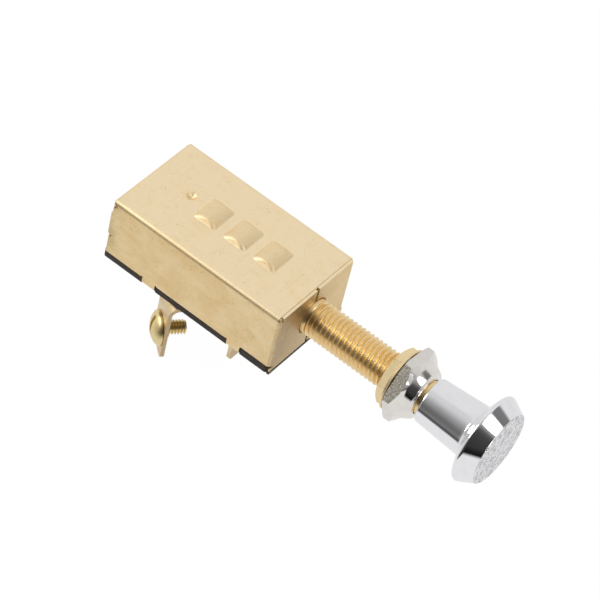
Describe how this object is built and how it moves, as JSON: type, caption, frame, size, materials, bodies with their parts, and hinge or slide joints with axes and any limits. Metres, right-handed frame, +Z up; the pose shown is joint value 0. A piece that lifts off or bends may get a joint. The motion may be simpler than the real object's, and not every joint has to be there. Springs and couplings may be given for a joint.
{
  "type": "three-position push-pull switch",
  "caption": "Push-pull panel switch with a pull knob on a threaded stem, a folded brass case and screw terminals; the plunger clicks between off, on and on.",
  "frame": {"origin": "on the stem's axis, at the outer face of the front flaps of the case", "axes": "+X along the stem towards the knob, +Z up through the domed top of the case, terminals below; stored pushed in, in the off position"},
  "size_m": [0.0891, 0.0266, 0.0334],
  "materials": {
    "case_brass": "soft sheen, rolled sheet with faint stains",
    "laminate": "dull paper laminate",
    "plated_steel": "zinc plated, dull",
    "stem_brass": "turned, bright",
    "nut_brass": "turned, bright",
    "nickel": "nickel plate, bright",
    "terminal_brass": "stamped, bright",
    "screw_brass": "bright",
    "shaft_steel": "turned",
    "chrome": "polished chrome, face lightly pebbled",
    "slider": "moulded phenolic",
    "spring_steel": "bright spring steel",
    "contact_brass": "stamped, bright"
  },
  "bodies": {
    "housing": {"case": "case_brass", "base_board": "laminate", "bushing_plate": "plated_steel", "threaded_bushing": "stem_brass", "jam_nut": "nut_brass", "panel_washer": "nut_brass", "dress_nut": "nickel", "terminal_lug_1": "terminal_brass", "terminal_lug_2": "terminal_brass", "terminal_lug_3": "terminal_brass", "terminal_rivet_1": "terminal_brass", "terminal_rivet_2": "terminal_brass", "terminal_rivet_3": "terminal_brass", "terminal_screw_1": "screw_brass", "terminal_screw_2": "screw_brass", "terminal_screw_3": "screw_brass"},
    "plunger": {"plunger_shaft": "shaft_steel", "knob": "chrome", "carriage": "slider", "shaft_clip": "spring_steel", "detent_leaf": "spring_steel", "contact_bridge": "contact_brass", "contact_spring_1": "spring_steel", "contact_spring_2": "spring_steel"}
  },
  "joints": [
    {"name": "plunger_slide", "type": "slide", "parent": "housing", "child": "plunger", "axis": [1, 0, 0], "range_m": [0, 0.015], "deforming": ["detent_leaf"]}
  ]
}
